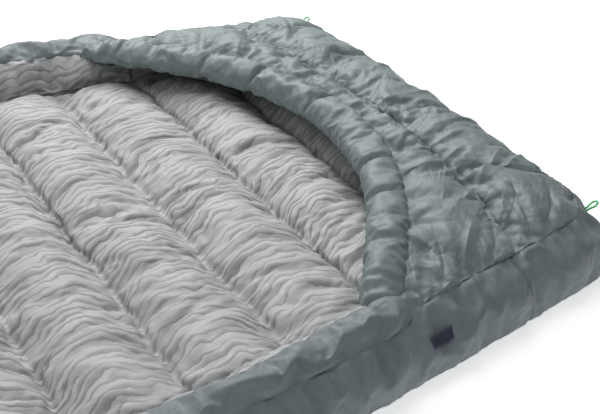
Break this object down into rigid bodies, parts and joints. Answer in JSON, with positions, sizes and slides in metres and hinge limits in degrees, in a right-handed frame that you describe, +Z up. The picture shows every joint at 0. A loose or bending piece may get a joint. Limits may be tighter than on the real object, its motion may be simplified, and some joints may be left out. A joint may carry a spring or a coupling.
{
  "type": "camp quilt",
  "caption": "Wide rectangular down camp quilt laid lining-up, with puffed side walls, a domed foot pocket behind a curved padded collar, corner cord loops and a blank side tab.",
  "frame": {"origin": "on the underside of the outer shell, under the middle of the quilt's length and width", "axes": "+X towards the foot edge, +Y across the quilt towards the side away from the blank tab, +Z up out of the lining"},
  "size_m": [1.998, 2, 0.1912],
  "materials": {
    "shell_fabric": "calendered ripstop-free nylon, soft sheen",
    "wall_fabric": "calendered nylon, soft sheen",
    "lining_fabric": "matt printed polyester",
    "baffle_fabric": "thin mesh",
    "down_fill": "loose down",
    "hem_fabric": "folded nylon",
    "green_cord": "braided cord",
    "elastic_cord": "covered elastic",
    "tab_fabric": "woven tape"
  },
  "bodies": {
    "quilt_main": {"base_shell": "shell_fabric", "main_lining": "lining_fabric", "main_baffles": "baffle_fabric", "main_down": "down_fill", "near_wall_shell": "wall_fabric", "far_wall_shell": "wall_fabric", "near_wall_lining": "lining_fabric", "far_wall_lining": "lining_fabric", "near_wall_down": "down_fill", "far_wall_down": "down_fill", "near_wall_hem": "hem_fabric", "far_wall_hem": "hem_fabric", "foot_wall_shell": "wall_fabric", "foot_wall_lining": "lining_fabric", "foot_wall_down": "down_fill"},
    "pocket_top": {"pocket_shell": "shell_fabric", "pocket_lining": "lining_fabric", "pocket_down": "down_fill", "pocket_baffle": "baffle_fabric", "pocket_edge": "lining_fabric", "collar_shell": "shell_fabric", "collar_down": "down_fill", "collar_elastic": "elastic_cord"},
    "head_panel": {"head_base_shell": "shell_fabric", "head_lining": "lining_fabric", "head_baffles": "baffle_fabric", "head_down": "down_fill", "head_near_wall_shell": "wall_fabric", "head_far_wall_shell": "wall_fabric", "head_near_wall_lining": "lining_fabric", "head_far_wall_lining": "lining_fabric", "head_near_wall_down": "down_fill", "head_far_wall_down": "down_fill", "head_near_wall_hem": "hem_fabric", "head_far_wall_hem": "hem_fabric", "head_end_hem": "hem_fabric"},
    "near_foot_loop": {"near_foot_loop": "green_cord"},
    "far_foot_loop": {"far_foot_loop": "green_cord"},
    "label_tab": {"label_tab": "tab_fabric"}
  },
  "joints": [
    {"name": "pocket_lift", "type": "hinge", "parent": "quilt_main", "child": "pocket_top", "pos_m": [0.99, 0, 0.102], "axis": [0, 1, 0], "range_deg": [0, 14]},
    {"name": "head_fold", "type": "hinge", "parent": "quilt_main", "child": "head_panel", "pos_m": [-0.37, 0, 0.17], "axis": [0, 1, 0], "range_deg": [0, 180]},
    {"name": "near_loop_swing", "type": "hinge", "parent": "quilt_main", "child": "near_foot_loop", "pos_m": [0.988, -0.69, 0.12], "axis": [0.342, 0.9397, 0], "range_deg": [-60, 60]},
    {"name": "far_loop_swing", "type": "hinge", "parent": "quilt_main", "child": "far_foot_loop", "pos_m": [0.988, 0.69, 0.12], "axis": [-0.342, 0.9397, 0], "range_deg": [-60, 60]},
    {"name": "tab_lift", "type": "hinge", "parent": "quilt_main", "child": "label_tab", "pos_m": [0.396, -0.8888, 0.099], "axis": [-0.9877, -0.1564, 0], "range_deg": [0, 130]}
  ]
}
